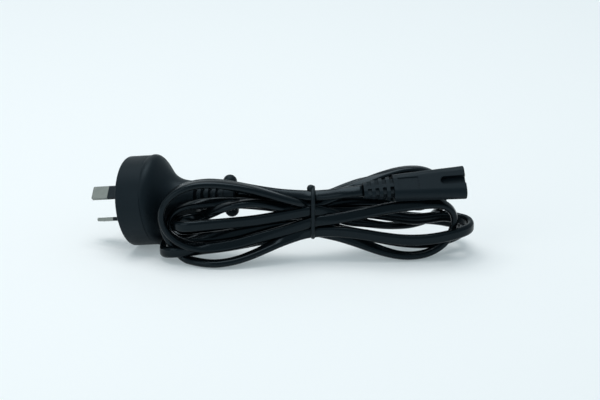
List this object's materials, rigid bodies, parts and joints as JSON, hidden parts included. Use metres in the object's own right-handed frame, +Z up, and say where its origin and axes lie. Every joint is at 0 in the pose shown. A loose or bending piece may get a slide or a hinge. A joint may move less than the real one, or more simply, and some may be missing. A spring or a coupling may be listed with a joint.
{
  "type": "power cord",
  "caption": "Mains power cord tied in a hank, with a round angled-blade plug, a flat sheathed cord and a figure-eight appliance connector.",
  "frame": {"origin": "middle of the base of the whole hank's box, on the surface that it lies on", "axes": "+X along the hank from plug to connector, +Y away from the viewer, +Z up"},
  "size_m": [0.1741, 0.0551, 0.0433],
  "materials": {
    "moulding": "fine satin moulding",
    "cord_sheath": "smooth flexible sheath",
    "tie": "matt elastic loop",
    "pin_metal": "dull nickel plate",
    "sleeve": "matt sleeve",
    "bridge": "natural moulding",
    "contact_metal": "rolled strip",
    "live_insulation": "brown core",
    "neutral_insulation": "light blue core",
    "copper": "bare stranded copper"
  },
  "bodies": {
    "root": {"plug_body": "moulding", "plug_pin_bridge": "bridge", "live_pin": "pin_metal", "neutral_pin": "pin_metal", "live_pin_sleeve": "sleeve", "neutral_pin_sleeve": "sleeve", "plug_live_core": "live_insulation", "plug_neutral_core": "neutral_insulation", "plug_live_conductor": "copper", "plug_neutral_conductor": "copper", "plug_lead": "cord_sheath", "cord_hank": "cord_sheath", "connector_lead": "cord_sheath", "hank_tie": "tie", "connector_body": "moulding", "contact_bridge": "bridge", "live_contact": "contact_metal", "neutral_contact": "contact_metal", "connector_live_core": "live_insulation", "connector_neutral_core": "neutral_insulation", "connector_live_conductor": "copper", "connector_neutral_conductor": "copper"}
  },
  "joints": []
}
